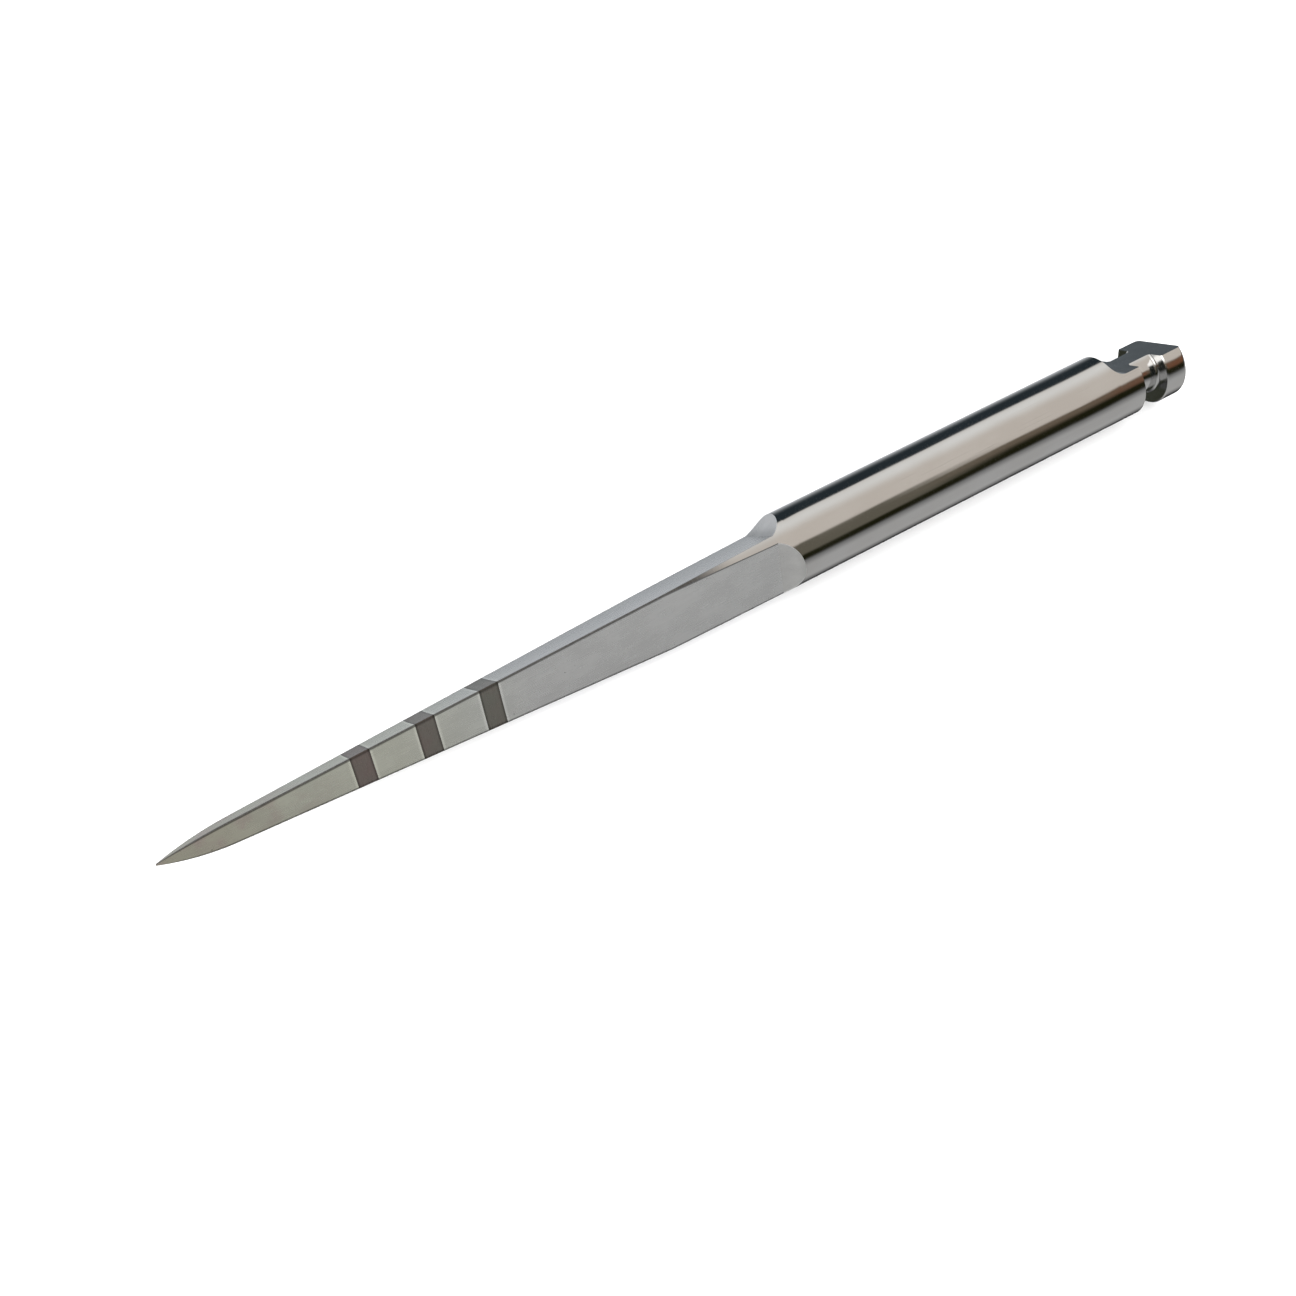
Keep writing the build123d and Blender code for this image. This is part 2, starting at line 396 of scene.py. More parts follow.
narrow_share = float(half_width(corner_top) / half_width(rim_radius))
share = np.concatenate([
    np.linspace(-1, -narrow_share, OUTER_SHARE_COLUMNS + 1)[:-1],
    np.linspace(-narrow_share, narrow_share, INNER_COLUMNS + 1),
    np.linspace(narrow_share, 1, OUTER_SHARE_COLUMNS + 1)[1:],
])
step_top = DRIVE_FLAT_DISTANCE + DRIVE_FLAT_CORNER_RADIUS
step_half_angle = math.acos(step_top / SHANK_RADIUS)
step_angles = DRIVE_FLAT_ANGLE + np.arcsin(share * math.sin(step_half_angle))
outer_share = np.linspace(0, 1, SHANK_COLUMNS - STEP_COLUMNS + 1)


def outer_angles(half_angle):
    """Angles from one border of the drive flat, round the back, to its other border."""
    half_angle = np.atleast_1d(half_angle)[:, None]
    return DRIVE_FLAT_ANGLE + half_angle + outer_share * (2 * math.pi - 2 * half_angle)


column_turn = 2 * math.pi / SHANK_COLUMNS
first_column = round((step_angles[0] - math.pi / BLADE_SIDES) / column_turn)
even_angles = math.pi / BLADE_SIDES + (first_column + np.arange(SHANK_COLUMNS)) * column_turn
fitted_angles = np.concatenate([step_angles[:-1], outer_angles(step_half_angle)[0, :-1]])
SHANK_ROWS = 24
drift = np.linspace(0, 1, SHANK_ROWS + 1)[:, None]
shank_angles = even_angles + drift * (fitted_angles - even_angles)
shank_stations = FACET_TIP + drift * (DRIVE_FLAT_START - FACET_TIP)
shank = at_station(shank_stations, SHANK_RADIUS * direction(shank_angles))
print("rings along the shank:", len(shank), "largest drift in degrees:",
      round(float(np.degrees(np.abs(fitted_angles - even_angles).max())), 2))

# %% [markdown]
# ## The latch end
# A lathe tool turns the groove and rounds the head, and the mill's flat cuts through both.
# The turned profile is a list of stations and radii, with its corners as arcs.  Where the
# flat cuts it, the border of the turned surface is at the angle whose cosine is the flat's
# distance over the radius.  The flat itself is a strip as wide as the bar is there, so it
# is narrow across the groove.

# %% The turned profile of the latch end
ARC_STEPS = 9


def arc(centre, radius, start, end):
    """Points (station, distance) on an arc, its angles in degrees from the +station direction."""
    turn = np.radians(np.linspace(start, end, ARC_STEPS + 1))
    return np.stack([centre[0] + radius * np.cos(turn), centre[1] + radius * np.sin(turn)], -1)


step_corner_x = DRIVE_FLAT_START + DRIVE_FLAT_CORNER_RADIUS
step_arc = arc((step_corner_x, step_top), DRIVE_FLAT_CORNER_RADIUS, 180, 270)
wall_width = np.abs(share[: OUTER_SHARE_COLUMNS + 1]) * float(half_width(rim_radius))
wall_radii = np.hypot(DRIVE_FLAT_DISTANCE, wall_width)
near_wall = np.stack([np.full(len(wall_radii), GROOVE_START), wall_radii], -1)
far_wall = np.stack([np.full(len(wall_radii), GROOVE_END), wall_radii[::-1]], -1)
near_corner = arc((GROOVE_START + GROOVE_CORNER_RADIUS, corner_top), GROOVE_CORNER_RADIUS, 180, 270)
far_corner = arc((GROOVE_END - GROOVE_CORNER_RADIUS, corner_top), GROOVE_CORNER_RADIUS, 270, 360)
head_round = arc((LENGTH - END_ROUND_RADIUS, SHANK_RADIUS - END_ROUND_RADIUS), END_ROUND_RADIUS, 90, 0)
near_rim = np.array([[GROOVE_START - RIM_CHAMFER, SHANK_RADIUS], [GROOVE_START, rim_radius]])
far_rim = np.array([[GROOVE_END, rim_radius], [GROOVE_END + RIM_CHAMFER, SHANK_RADIUS]])


def turned(profile, distance=DRIVE_FLAT_DISTANCE):
    """The turned surface along a profile, from one border of the drive flat round to the other."""
    stations, radii = np.asarray(profile, float).T
    half_angle = np.arccos(np.asarray(distance, float) / radii)
    return at_station(stations[:, None], radii[:, None, None] * direction(outer_angles(half_angle)))


def milled(stations, distances, half_widths, shares):
    """The milled strip: distance along the flat's normal, plus a share of its half width."""
    normal, tangent = direction(DRIVE_FLAT_ANGLE), direction(DRIVE_FLAT_ANGLE + math.pi / 2)
    stations, distances, half_widths = np.broadcast_arrays(stations, distances, half_widths)
    sideways = distances[:, None, None] * normal + (half_widths[:, None] * shares)[..., None] * tangent
    return at_station(stations[:, None], sideways)


def milled_along(profile, shares):
    """The milled strip under a stretch of the turned profile."""
    stations, radii = np.asarray(profile, float).T
    return milled(stations, DRIVE_FLAT_DISTANCE, half_width(radii), shares)


step_profile = np.stack([step_arc[:, 0], np.full(len(step_arc), SHANK_RADIUS)], -1)
groove_profile = np.concatenate([near_corner, far_corner])
print(f"groove from {GROOVE_START:.2f} to {GROOVE_END:.2f}, floor radius {GROOVE_FLOOR_RADIUS:.2f}")

# %% [markdown]
# ## Closing the ends
# The head ends in a plain face and the point in a tiny blunt one.  Each is closed by copies of
# its outline, shrunk in even steps to the axis, so the innermost ring falls together into one
# point and leaves no hole.

# %% The end face and the blunt point
CAP_RINGS = 6


def shrunk_rings(loop):
    """Copies of a flat loop round the axis, shrunk in even steps to a point on the axis."""
    middle = np.array([loop[0, 0], 0.0, SHANK_RADIUS])
    size = np.linspace(1, 0, CAP_RINGS + 1)[:, None, None]
    return middle + (loop - middle) * size


head_end_turned = turned(head_round)[-1]
head_end_milled = milled_along(head_round, share)[-1]
end_loop = np.concatenate([head_end_turned[:-1], head_end_milled[:-1]])
print("points round the end face:", len(end_loop))

# %% [markdown]
# ## Finishes
# The surfaces of one bar look different because different tools made them:
# - the shank and the head are polished almost to a mirror,
# - the blade's flats are ground with a fine wheel and look satin,
# - the facets at the end of the flats are the wheel's own arc, a little coarser,
# - the narrow lands are left from turning and are drawn dark along the blade,
# - the drive flat is milled and blue-grey,
# - the bands are a thin oxide skin, brown-grey and satin.
# All of them are metal, so almost all their colour is a reflection, and the finish lives in
# the roughness and in marks a few thousandths of a millimetre deep.  Patterns are measured in
# millimetres along the tool's own axes.

# %% Helpers: nodes
class Nodes:
    """A node tree, with short ways to add and link nodes."""

    def __init__(self, tree):
        self.tree = tree

    def add(self, kind, **settings):
        """A new node with these properties set."""
        made = self.tree.nodes.new(kind)
        for key, value in settings.items():
            setattr(made, key, value)
        return made

    def put(self, target, value):
        """Links a socket to an input, or sets the input's own value."""
        if isinstance(value, bpy.types.NodeSocket):
            self.tree.links.new(value, target)
        else:
            target.default_value = value

    def math(self, operation, *values):
        """A Math node: the operation on up to three numbers."""
        made = self.add("ShaderNodeMath", operation=operation)
        for socket, value in zip(made.inputs, values):
            self.put(socket, value)
        return made.outputs[0]

    def millimetres(self, stretch=(1, 1, 1)):
        """Object coordinates in millimetres, stretched along each axis."""
        place = self.add("ShaderNodeTexCoord").outputs["Object"]
        scaled = self.add("ShaderNodeMapping")
        self.put(scaled.inputs["Vector"], place)
        scaled.inputs["Scale"].default_value = [value / MM for value in stretch]
        return scaled.outputs["Vector"]

    def station(self):
        """Distance from the point in millimetres."""
        split = self.add("ShaderNodeSeparateXYZ")
        self.put(split.inputs[0], self.millimetres())
        return self.math("ADD", split.outputs["X"], LENGTH / 2)

    def noise(self, stretch, detail=3.0, roughness=0.55):
        """Noise with about one patch for each millimetre divided by the stretch."""
        made = self.add("ShaderNodeTexNoise")
        self.put(made.inputs["Vector"], self.millimetres(stretch))
        made.inputs["Scale"].default_value = 1.0
        made.inputs["Detail"].default_value = detail
        made.inputs["Roughness"].default_value = roughness
        return made.outputs["Fac"]

    def spread(self, value, low, high, to_low, to_high):
        """Maps low..high to to_low..to_high with soft ends, and holds it outside."""
        made = self.add("ShaderNodeMapRange", interpolation_type="SMOOTHSTEP")
        for socket, number in zip(made.inputs, (value, low, high, to_low, to_high)):
            self.put(socket, number)
        return made.outputs[0]

    def mix(self, share, first, second, blend="MIX"):
        """Mixes two colours."""
        made = self.add("ShaderNodeMix", data_type="RGBA", blend_type=blend)
        self.put(made.inputs[0], share)
        self.put(made.inputs[6], first)
        self.put(made.inputs[7], second)
        return made.outputs[2]

    def ramp(self, share, stops):
        """A colour ramp: stops are (position, colour)."""
        made = self.add("ShaderNodeValToRGB")
        elements = made.color_ramp.elements
        while len(elements) < len(stops):
            elements.new(0.5)
        for element, (position, colour) in zip(elements, stops):
            element.position = position
            element.color = (*colour, 1)
        self.put(made.inputs[0], share)
        return made.outputs["Color"]


class Finish(Nodes):
    """The node tree of a new material."""

    def __init__(self, name):
        self.material = bpy.data.materials.new(name)
        self.material.use_nodes = True
        super().__init__(self.material.node_tree)
        self.shader = self.tree.nodes["Principled BSDF"]

    def bump(self, heights):
        """Stacks bumps: heights is a list of (height socket, depth in micrometres)."""
        normal = None
        for height, depth in heights:
            made = self.add("ShaderNodeBump")
            made.inputs["Strength"].default_value = 1.0
            made.inputs["Distance"].default_value = depth * MM / 1000
            self.put(made.inputs["Height"], height)
            if normal is not None:
                self.put(made.inputs["Normal"], normal)
            normal = made.outputs[0]
        self.put(self.shader.inputs["Normal"], normal)

    def metal(self, colour, roughness, metallic=1.0):
        """Sets the shader's colour, roughness and metal share."""
        self.put(self.shader.inputs["Base Color"], colour)
        self.put(self.shader.inputs["Roughness"], roughness)
        self.shader.inputs["Metallic"].default_value = metallic
        return self.material


def grey(value, warm=0.0):
    """A grey with a little red added and blue taken away."""
    return (value * (1 + warm), value, value * (1 - warm), 1)


# %% [markdown]
# ### Polished steel
# The shank is ground between wheels and then polished, because it turns fast in a close
# sleeve.  A plain low roughness would look like a computed mirror.  So the roughness drifts a
# little, the surface waves by a few micrometres, and thin scratches run along it.

# %% Polished steel of the shank and the head
def polished_steel():
    """Near-mirror steel.  Centreless grinding leaves rings too fine to see one by one, polishing
    leaves it very slightly uneven, and handling leaves thin scratches along it."""
    n = Finish("polished_steel")
    haze = n.noise((0.5, 0.9, 0.9), detail=4)
    rings = n.noise((55, 0.6, 0.6), detail=2)
    scratches = n.noise((0.35, 26, 26), detail=2, roughness=0.6)
    thin = n.spread(scratches, 0.66, 0.74, 0, 1)
    roughness = n.spread(haze, 0.3, 0.7, 0.07, 0.13)
    roughness = n.math("ADD", roughness, n.math("MULTIPLY", thin, 0.10))
    colour = n.mix(n.spread(haze, 0.35, 0.65, 0, 1), grey(0.61, 0.012), grey(0.64, 0.004))
    colour = n.mix(n.math("MULTIPLY", thin, 0.25), colour, grey(0.42))
    n.bump([(n.noise((0.45, 0.8, 0.8), detail=1), 3.0), (rings, 0.06), (thin, -0.08)])
    return n.metal(colour, roughness)


# %% [markdown]
# ### Ground steel
# The flats are satin, with wheel lines along them, soft smudges and a few pits.  The lines
# could be a texture picture, but noise stretched along one axis gives the same look at any
# distance.  The edge attribute says how near a border is, so the flats' borders can be drawn
# darker.  The facets where the wheel lifts out use the same recipe with other numbers, and
# their borders get a painted highlight.  A painted highlight also brightens the steel beside
# each band.

# %% Ground steel of the blade's flats
BORDER_STRIP_WIDTH = 0.08     # millimetres: the strip along each border, darker on the flats, a painted highlight on the facets
BAND_RIM_HIGHLIGHT_WIDTH = 0.10     # millimetres: a painted highlight brightens a rim of steel beside each band
FLAT_HALF_WIDTH = math.tan(math.pi / BLADE_SIDES)   # a flat's half width over its distance
STRAW_BROWN = (0.58, 0.49, 0.45, 1)


def band_gap(n):
    """Distance in millimetres from the nearest border of a depth band, outside the band."""
    station = n.station()
    gaps = [n.math("ABSOLUTE", n.math("SUBTRACT", station, middle)) for middle in MARKS.values()]
    nearest = n.math("MINIMUM", n.math("MINIMUM", gaps[0], gaps[1]), gaps[2])
    return n.math("SUBTRACT", nearest, MARK_WIDTH / 2)


def ground_steel(name, tint_stops, roughness_range, pit_share, border_shade_and_highlight):
    """Satin steel.  The wheel leaves hair-thin lines along the blade, wiping leaves soft smudges,
    and a few tiny pits stay.  Heat near the thin point has tinted it in straw-brown patches.
    Its last argument darkens a thin strip along the borders when below 1, and paints a highlight there
    when above 1."""
    n = Finish(name)
    station = n.station()
    smudge = n.noise((0.9, 1.6, 1.6), detail=5, roughness=0.6)
    patches = n.noise((1.3, 1.3, 1.3), detail=3)
    edge = n.add("ShaderNodeAttribute", attribute_name="edge").outputs["Fac"]
    distance = n.math("MULTIPLY_ADD", station, FLAT_SLOPE, FLAT_RISE_AT_POINT)
    width = n.math("MULTIPLY", distance, FLAT_HALF_WIDTH)
    to_border = n.math("MULTIPLY", n.math("SUBTRACT", 1.0, edge), width)
    hairs = n.noise((0.8, 45, 45), detail=3, roughness=0.6)
    cross_hairs = n.noise((38, 1.2, 1.2), detail=2)
    speck = n.noise((5.5, 5.5, 5.5), detail=2)
    pits = n.spread(speck, 0.72, 0.77, 0, pit_share)
    tint = n.ramp(n.math("DIVIDE", station, LENGTH), tint_stops)
    brown = n.math("MULTIPLY", n.spread(station, 1.0, 6.5, 1, 0), n.spread(patches, 0.42, 0.62, 0, 1))
    tint = n.mix(n.math("MULTIPLY", brown, 0.8), tint, STRAW_BROWN)
    shade = n.spread(smudge, 0.3, 0.7, 0.91, 1.05)
    shade = n.math("MULTIPLY", shade, n.spread(hairs, 0.3, 0.7, 0.97, 1.03))
    shade = n.math("MULTIPLY", shade, n.math("SUBTRACT", 1.0, pits))
    # Along the borders: a darker strip on the flats, and a painted highlight on the facets.
    shade = n.math("MULTIPLY", shade, n.spread(to_border, BORDER_STRIP_WIDTH / 4, BORDER_STRIP_WIDTH, border_shade_and_highlight, 1))
    # Painted highlight: a brighter rim of steel beside each depth band.
    shade = n.math("MULTIPLY", shade, n.spread(band_gap(n), BAND_RIM_HIGHLIGHT_WIDTH / 5, BAND_RIM_HIGHLIGHT_WIDTH, 1.30, 1))
    colour = n.mix(1.0, tint, shade, blend="MULTIPLY")
    roughness = n.spread(smudge, 0.25, 0.75, *roughness_range)
    roughness = n.math("ADD", roughness, n.math("MULTIPLY", n.math("SUBTRACT", hairs, 0.5), 0.12))
    n.bump([(hairs, 0.35), (cross_hairs, 0.12), (pits, -1.2)])
    return n.metal(colour, roughness)


straw_to_clean = [   # share of the whole length, colour
    (0.00, (0.56, 0.54, 0.44)),
    (0.05, (0.60, 0.58, 0.48)),
    (0.12, (0.70, 0.71, 0.61)),
    (0.20, (0.745, 0.75, 0.66)),
    (0.27, (0.755, 0.765, 0.725)),
    (0.32, (0.745, 0.745, 0.745)),
    (0.56, (0.74, 0.745, 0.75)),
]
FACET_TINT = (0.78, 0.78, 0.775)   # the facets carry no straw tint

# %% [markdown]
# ### Turned lands
# The wheel never reaches the narrow strips between the flats, and they are drawn dark along
# the blade.  They are drawn as one metal that goes from dark to bright with the station,
# because on the real bar there is no seam between the land and the shank.

# %% Dark land along the blade's edges
LAND_BRIGHTENS = (16.6, 18.4)   # stations between which the land turns from dark to bright


def dark_land():
    """The strip that the wheel doesn't touch.  It is coloured dark along the blade, and turns
    bright where it becomes the shank's own surface."""
    n = Finish("turned_land")
    station = n.station()
    rings = n.noise((30, 2, 2), detail=3)
    bright = n.spread(station, *LAND_BRIGHTENS, 0, 1)
    dark_along_blade = n.mix(n.spread(rings, 0.3, 0.7, 0, 1), grey(0.10), grey(0.17, 0.01))
    colour = n.mix(bright, dark_along_blade, grey(0.62))
    roughness = n.spread(station, *LAND_BRIGHTENS, 0.42, 0.12)
    n.bump([(rings, 0.4)])
    return n.metal(colour, roughness)


# %% [markdown]
# ### Milled steel
# The drive flat is left as a mill cuts it, so it is darker than the polished shank beside it.
# It is drawn darker still towards the rounded step, a painted shade set by the station.

# %% Milled steel of the drive flat
def milled_steel():
    """The flat that the handpiece drives.  The mill leaves close straight lines across it and a
    blue-grey surface less bright than the shank, with painted shade darkest in the rounded step."""
    n = Finish("milled_steel")
    lines = n.noise((34, 1.5, 1.5), detail=2)
    haze = n.noise((1.5, 1.5, 1.5), detail=4)
    shade = n.mix(n.spread(haze, 0.3, 0.7, 0, 1), (0.40, 0.43, 0.445, 1), (0.47, 0.50, 0.52, 1))
    roughness = n.spread(lines, 0.3, 0.7, 0.13, 0.20)
    n.bump([(lines, 0.15), (haze, 1.0)])
    step_end = DRIVE_FLAT_START + 2 * DRIVE_FLAT_CORNER_RADIUS
    # Painted shade: darker towards the rounded step.
    painted_step_shade = n.spread(n.station(), DRIVE_FLAT_START, step_end, 0.5, 1)
    return n.metal(n.mix(1.0, shade, painted_step_shade, blend="MULTIPLY"), roughness)


# %% [markdown]
# ### Laser-burnt skin
# A laser grows a thin oxide on the steel.  It could be a matt paint, but the real skin still
# reflects, so it stays a metal with a dark colour and a satin roughness.

# %% Laser-burnt bands
MARK_PITCH = 2.0   # millimetres from one band to the next, and every band is at a multiple of it


def laser_band():
    """Oxide skin on steel.  The beam runs to and fro in close overlapping lines, so the band is
    faintly ribbed and darker at its borders.  It is also drawn darker over the blade's edges,
    as the lands are.  The thin end of the blade got hotter, so its band is redder."""
    n = Finish("laser_band")
    station = n.station()
    mottle = n.noise((2.2, 2.2, 2.2), detail=4)
    ribs = n.noise((48, 3, 3), detail=2)
    pitches = n.math("FRACT", n.math("ADD", n.math("DIVIDE", station, MARK_PITCH), 0.5))
    from_middle = n.math("MULTIPLY", n.math("ABSOLUTE", n.math("SUBTRACT", pitches, 0.5)), MARK_PITCH)
    dark_border = n.spread(from_middle, MARK_WIDTH / 2 * 0.70, MARK_WIDTH / 2, 1.0, 0.45)
    along = n.spread(station, 5.5, 10.5, 0, 0.6)
    shift = n.math("ADD", along, n.spread(mottle, 0.3, 0.7, 0, 0.4))
    brown = n.mix(shift, (0.285, 0.225, 0.21, 1), (0.25, 0.25, 0.22, 1))
    shade = n.math("MULTIPLY", dark_border, n.spread(ribs, 0.3, 0.7, 0.9, 1.08))
    # Darker over the blade's edges, as the lands are drawn.
    edge = n.add("ShaderNodeAttribute", attribute_name="edge").outputs["Fac"]
    shade = n.math("MULTIPLY", shade, n.spread(edge, 0.82, 1.0, 1.0, 0.4))
    colour = n.mix(1.0, brown, shade, blend="MULTIPLY")
    roughness = n.spread(ribs, 0.3, 0.7, 0.26, 0.36)
    n.bump([(ribs, 0.3), (mottle, 0.5)])
    return n.metal(colour, roughness)


facet_stops = [(0.0, FACET_TINT), (1.0, FACET_TINT)]
FINISHES = [
    polished_steel(),
    ground_steel("ground_flat", straw_to_clean, (0.24, 0.31), pit_share=0.35, border_shade_and_highlight=0.30),
    # The facets' borders are brightened: a painted highlight.
    ground_steel("runout_facet", facet_stops, (0.28, 0.36), pit_share=0.2, border_shade_and_highlight=1.25),
    dark_land(),
    milled_steel(),
]
POLISHED, GROUND, FACET, LAND, MILLED = range(5)
print("finishes:", [finish.name for finish in FINISHES])

# %% [markdown]
# ## The steel body
# All the grids now go into one skin: blunt point, blade, facets, shank, the step and strip of
# the drive flat, the groove, the head and its end face.  The printed volume should be within
# a few hundredths of the CAD body, and every edge should have a face on both sides.

# %% Build the body
one_side = np.concatenate([np.full(FLAT_COLUMNS, GROUND), np.full(LAND_COLUMNS, LAND)])
blade_finish = np.tile(one_side, BLADE_SIDES)
facet_finish = np.where(blade_finish == GROUND, FACET, POLISHED)

body = Skin()
body.add(shrunk_rings(blade[0])[::-1], GROUND, wrap_columns=True)
body.add(blade, blade_finish, ring_edge, wrap_columns=True)
body.add(np.concatenate([blade[-1:], lift_rings]), facet_finish, ring_edge, wrap_columns=True)
body.add(shank, POLISHED, wrap_columns=True)

# The step: its flat wall, its rounded corner, then the milled strip up to the groove.
step_rim = at_station(DRIVE_FLAT_START, SHANK_RADIUS * direction(step_angles))[None]
step_foot = milled(step_arc[:, 0], step_arc[:, 1], half_width(SHANK_RADIUS, step_arc[:, 1]), share)
body.add(np.concatenate([step_rim, step_foot[:1]]), POLISHED)
body.add(np.concatenate([step_foot, milled_along(near_rim, share)]), MILLED)
narrow_strip = share[OUTER_SHARE_COLUMNS:-OUTER_SHARE_COLUMNS] / narrow_share
body.add(milled_along(groove_profile, narrow_strip), MILLED)
body.add(milled_along(np.concatenate([far_rim, head_round]), share), MILLED)

# The turned side: beside the step, then down, across and up the groove, and round the head.
body.add(turned(step_profile, step_arc[:, 1]), POLISHED)
body.add(turned(np.concatenate([step_profile[-1:], near_rim])), POLISHED)
body.add(turned(np.concatenate([near_wall, near_corner[1:], far_corner, far_wall[1:]])), POLISHED)
body.add(turned(np.concatenate([far_rim, head_round])), POLISHED)
body.add(shrunk_rings(end_loop), POLISHED, wrap_columns=True)

lance = body.build("lance_body_steel", FINISHES)
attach(lance, "root")
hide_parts("lance_body")

# %% [markdown]
# ## The depth bands
# Each band is a thin closed sleeve let into the blade, flush with the flats, where the
# recess was left for it.  Its outside rings are the blade's own formula and its inside rings
# are the core's, so sleeve and blade meet point for point.

# %% Build the bands
BAND_ROWS = 4
band_finish = laser_band()
for node, middle in MARKS.items():
    outside = np.linspace(*mark_limits(middle), BAND_ROWS + 1)
    sleeve = Skin()
    rings = np.concatenate([surface_rings(outside), core_rings(outside[[-1, 0]])])
    sleeve.add(rings, 0, ring_edge, wrap_columns=True, wrap_rows=True)
    band = sleeve.build(node + "_skin", [band_finish])
    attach(band, "root")
    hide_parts(node)

# %% [markdown]
# ## The table
# A plain, almost white sheet, wide enough to fill the view.  It is kept out of the steel's
# reflections, because a mirror-bright bar looks like whatever stands round it, and the cards
# below say what that is.

# %% Floor
FLOOR_HALF = 1.5   # metres
floor_mesh = bpy.data.meshes.new("floor")
corners = np.array([[-1, -1], [1, -1], [1, 1], [-1, 1]]) * FLOOR_HALF
floor_mesh.from_pydata([(x, y, cad_low.z) for x, y in corners.tolist()], [], [(0, 1, 2, 3)])
floor = bpy.data.objects.new("floor", floor_mesh)
bpy.context.scene.collection.objects.link(floor)
floor.visible_glossy = False
print("table in metres:", 2 * FLOOR_HALF, "square")


def table_sheet():
    """Matt card with a trace of mottling."""
    n = Finish("table_sheet")
    mottle = n.noise((0.05, 0.05, 0.05), detail=3)
    colour = n.mix(n.spread(mottle, 0.3, 0.7, 0, 1), grey(0.93), grey(0.945))
    n.shader.inputs["Specular IOR Level"].default_value = 0.1
    return n.metal(colour, 0.9, metallic=0.0)


floor_mesh.materials.append(table_sheet())

# %% [markdown]
# ## Light for polished steel
# A mirror-bright bar shows no colour of its own, only what stands round it, so it is lit by
# arranging its surroundings.  Long soft-edged cards and dark flags stand parallel to the tool,
# each over its own arc round it: a broad warm-white bank overhead, a blue-black flag on the
# far side, an olive-black one on the near side, and soft grey fill below each.  A few short
# cards cover only one end.  Only glossy rays see them.  Diffuse rays see an even white dome,
# which lights the table with no hard shadow.
# Lamps would give small hard glints here, and a picture of a room would bring in shapes that
# belong to no studio, so the world itself is made of these cards.
# Their arcs and tones are set for the camera below.  The short ones matter only there,
# at the groove, the facets and past the head.

# %% Studio surroundings
STEEL_SHARE = 0.62   # share of the light that the polish returns, so that tones come out as named


def tone(red, green, blue):
    """Linear light whose reflection in the steel shows as this tone, each part from 0 to 255,
    or more for a lamp, which shows as plain white."""
    value = np.array([red, green, blue]) / 255
    linear = np.where(value <= 0.04045, value / 12.92, ((value + 0.055) / 1.055) ** 2.4)
    return (linear / STEEL_SHARE).tolist()


BARE_ROOM = tone(95, 95, 95)
ROUND = 400        # an arc that ends here runs on to straight down
WHOLE = (-2, 2)    # the whole length, in the direction's share along X, which is -1 to 1

# Laid in this order: arc in degrees from straight up towards +Y, its soft edge, the stretch
# along the tool, its soft edge, tone.
cards = [
    ((-152, -88), 14, WHOLE, 1, tone(150, 150, 149)),      # near fill
    ((-77, -33), 5, WHOLE, 1, tone(24, 24, 11)),           # near flag
    ((-52, -30), 9, WHOLE, 1, tone(94, 84, 72)),           # the flag's brown upper strip
    ((-35, 67), 3, WHOLE, 1, tone(181, 174, 166)),         # overhead bank
    ((30, 67), 18, WHOLE, 1, tone(202, 201, 198)),         # the bank's brighter far half
    ((67, ROUND), 4, WHOLE, 1, tone(34, 41, 45)),          # far flag
    ((126, ROUND), 28, WHOLE, 1, tone(172, 175, 178)),     # far fill
    ((158, ROUND), 5, (-0.3, 2), 0.1, tone(45, 45, 45)),   # dark under the tool, far half
    ((-ROUND, -168), 8, WHOLE, 1, tone(45, 45, 45)),       # dark under the tool, near half
    ((-60, -25), 4, (-0.2, 0.50), 0.03, tone(88, 84, 74)),     # grey card in the near flag, blade end
    ((100, 178), 14, (-2, 0.02), 0.12, tone(160, 162, 165)),   # far fill, higher at the blade end
    ((-26, 64), 6, (-2, -0.3), 0.1, tone(222, 221, 218)),      # lighter card over the blade's point
    ((-26, 12), 6, (-2, -0.3), 0.1, tone(300, 298, 294)),      # lamp in its near half
    ((-56, -38), 5, (0.585, 2), 0.01, tone(100, 66, 48)),      # copper-brown card past the head
    ((-72, -22), 5, (-0.72, -0.42), 0.05, tone(28, 31, 29)),   # black flag that the groove looks back at
    ((-ROUND, -138), 8, (-0.72, -0.42), 0.05, tone(44, 46, 38)),   # dark card low behind it, near half
    ((152, ROUND), 5, (-0.72, -0.42), 0.05, tone(44, 46, 38)),     # and its far half
]

world = bpy.data.worlds.new("studio")
bpy.context.scene.world = world
world.use_nodes = True
world.cycles.sampling_method = "NONE"   # the two kinds of ray see different surroundings

CARD_WAVES = 24.0     # uneven places along the cards
CARD_WAVER = 9.0      # degrees that their edges wander by
DOME_STRENGTH = 2.00


def inside(n, value, low, high, soft):
    """1 between low and high, 0 outside, with soft edges."""
    rise = n.spread(value, low - soft, low + soft, 0, 1)
    fall = n.spread(value, high - soft, high + soft, 0, 1)
    return n.math("SUBTRACT", rise, fall)


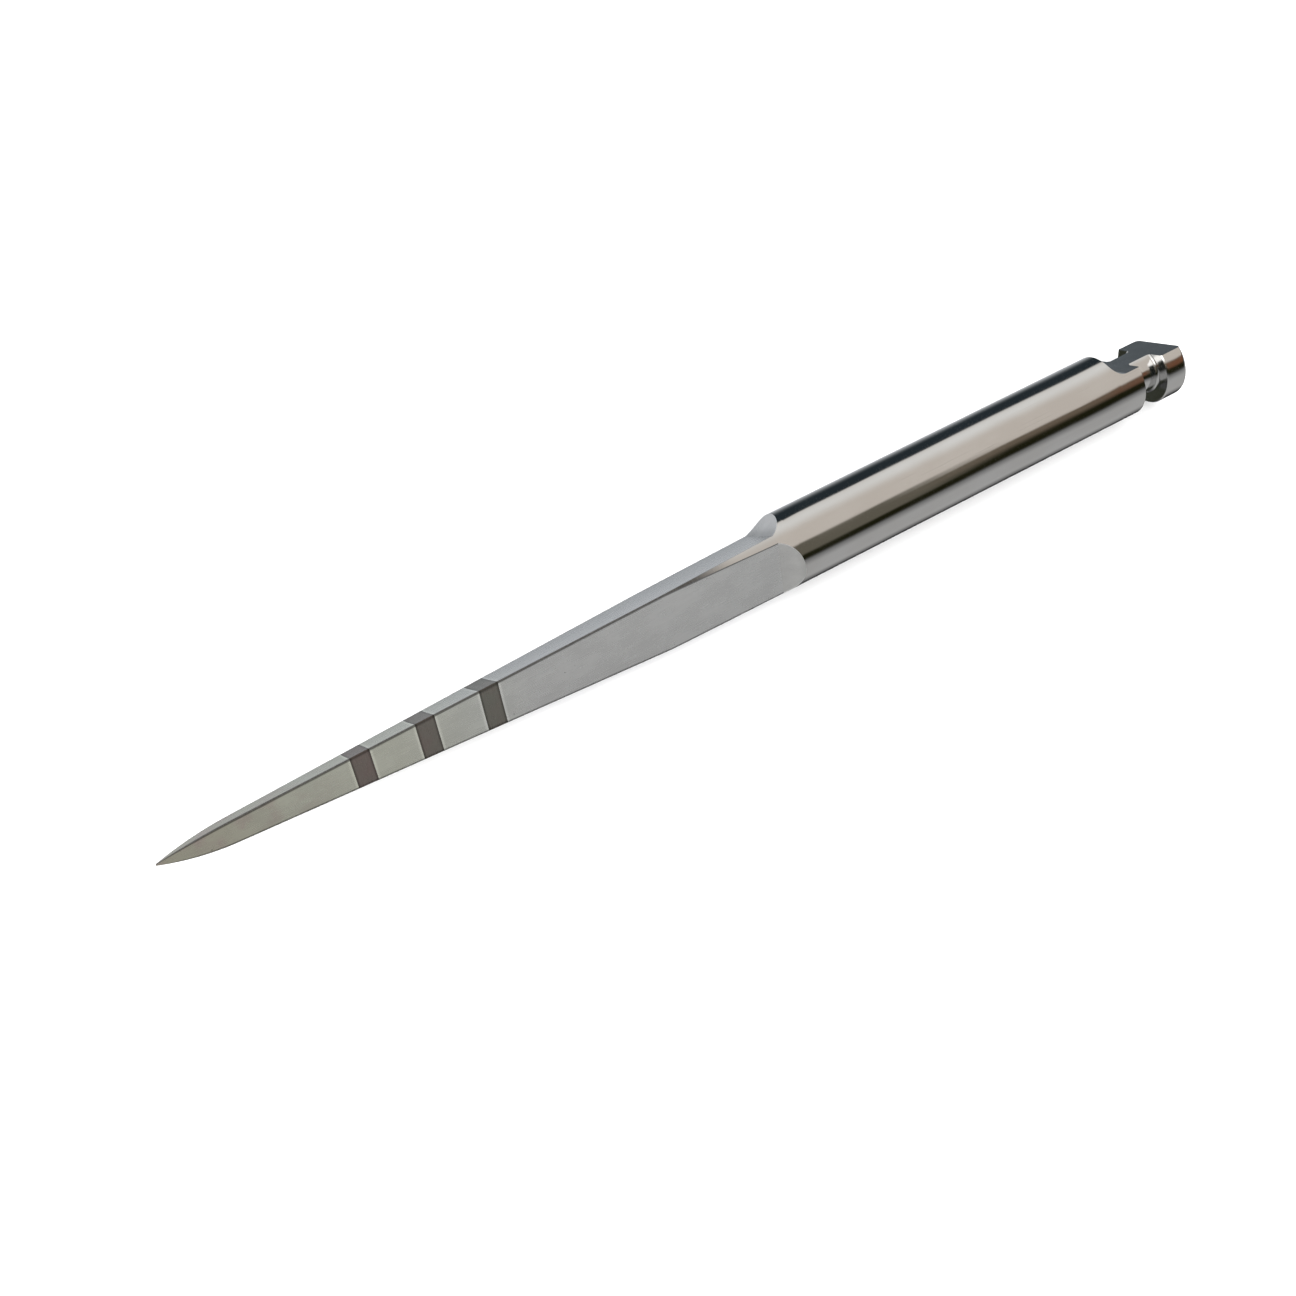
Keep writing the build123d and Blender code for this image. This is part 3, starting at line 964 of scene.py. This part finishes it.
def light_the_world(tree):
    """Nodes: the ray's angle round the tool's axis, a little uneven along it, and each card in
    turn laid over what is behind it."""
    tree.nodes.clear()
    n = Nodes(tree)
    split = n.add("ShaderNodeSeparateXYZ")
    n.put(split.inputs[0], n.add("ShaderNodeTexCoord").outputs["Generated"])
    along = split.outputs["X"]
    angle = n.math("ARCTAN2", split.outputs["Y"], split.outputs["Z"])
    angle = n.math("MULTIPLY", angle, 180 / math.pi)
    waver = n.add("ShaderNodeTexNoise", noise_dimensions="1D")
    n.put(waver.inputs["W"], along)
    waver.inputs["Scale"].default_value = CARD_WAVES
    uneven = n.math("MULTIPLY", n.math("SUBTRACT", waver.outputs["Fac"], 0.5), CARD_WAVER)
    angle = n.math("ADD", angle, uneven)

    seen = (*BARE_ROOM, 1)
    for (first, last), soft_turn, (start, end), soft_along, colour in cards:
        in_arc = inside(n, angle, first, last, soft_turn)
        in_length = inside(n, along, start, end, soft_along)
        seen = n.mix(n.math("MULTIPLY", in_arc, in_length), seen, (*colour, 1))

    reflected, dome = n.add("ShaderNodeBackground"), n.add("ShaderNodeBackground")
    n.put(reflected.inputs["Color"], seen)
    dome.inputs["Color"].default_value = (1, 1, 1, 1)
    dome.inputs["Strength"].default_value = DOME_STRENGTH
    either = n.add("ShaderNodeMixShader")
    n.put(either.inputs[0], n.add("ShaderNodeLightPath").outputs["Is Glossy Ray"])
    n.put(either.inputs[1], dome.outputs[0])
    n.put(either.inputs[2], reflected.outputs[0])
    n.put(n.add("ShaderNodeOutputWorld").inputs["Surface"], either.outputs[0])


light_the_world(world.node_tree)
bpy.context.scene.view_settings.view_transform = "Standard"
print("cards and flags round the tool:", len(cards))

# %% [markdown]
# ## The camera
# It stands close above the point's side of the tool, looks steeply down and is rolled a little,
# so the bar runs up to the right.  At this distance perspective makes the blade look larger than
# its share, which a longer lens would lose.  The direction is worked out from three angles
# rather than by a tracking constraint, so nothing is left to be solved later.

# %% Camera
CAMERA_AZIMUTH = math.radians(-48.53)    # 0 looks along +Y, and negative is from the -X side
CAMERA_ELEVATION = math.radians(64.33)
CAMERA_ROLL = math.radians(18.58)
CAMERA_DISTANCE = 51.866 * MM
AIM_FROM_MIDDLE = Vector((-2.801, -0.830, 0.0)) * MM
FOCAL_LENGTH = 49.76                     # on the usual 36 mm wide sensor

aim = (cad_low + cad_high) / 2 + AIM_FROM_MIDDLE
back = Vector((
    math.sin(CAMERA_AZIMUTH) * math.cos(CAMERA_ELEVATION),
    -math.cos(CAMERA_AZIMUTH) * math.cos(CAMERA_ELEVATION),
    math.sin(CAMERA_ELEVATION),
))
level_right = Vector((0, 0, 1)).cross(back).normalized()
level_up = back.cross(level_right)
right = math.cos(CAMERA_ROLL) * level_right + math.sin(CAMERA_ROLL) * level_up
up = back.cross(right)
camera = bpy.data.objects.new("camera", bpy.data.cameras.new("camera"))
camera.data.lens = FOCAL_LENGTH
camera.data.clip_start = 1 * MM
camera.data.clip_end = 10.0
turn = Matrix((right, up, back)).transposed().to_4x4()
camera.matrix_world = Matrix.Translation(aim + back * CAMERA_DISTANCE) @ turn
bpy.context.scene.collection.objects.link(camera)
bpy.context.scene.camera = camera
print("camera at", [round(1000 * v, 2) for v in camera.matrix_world.translation], "mm")
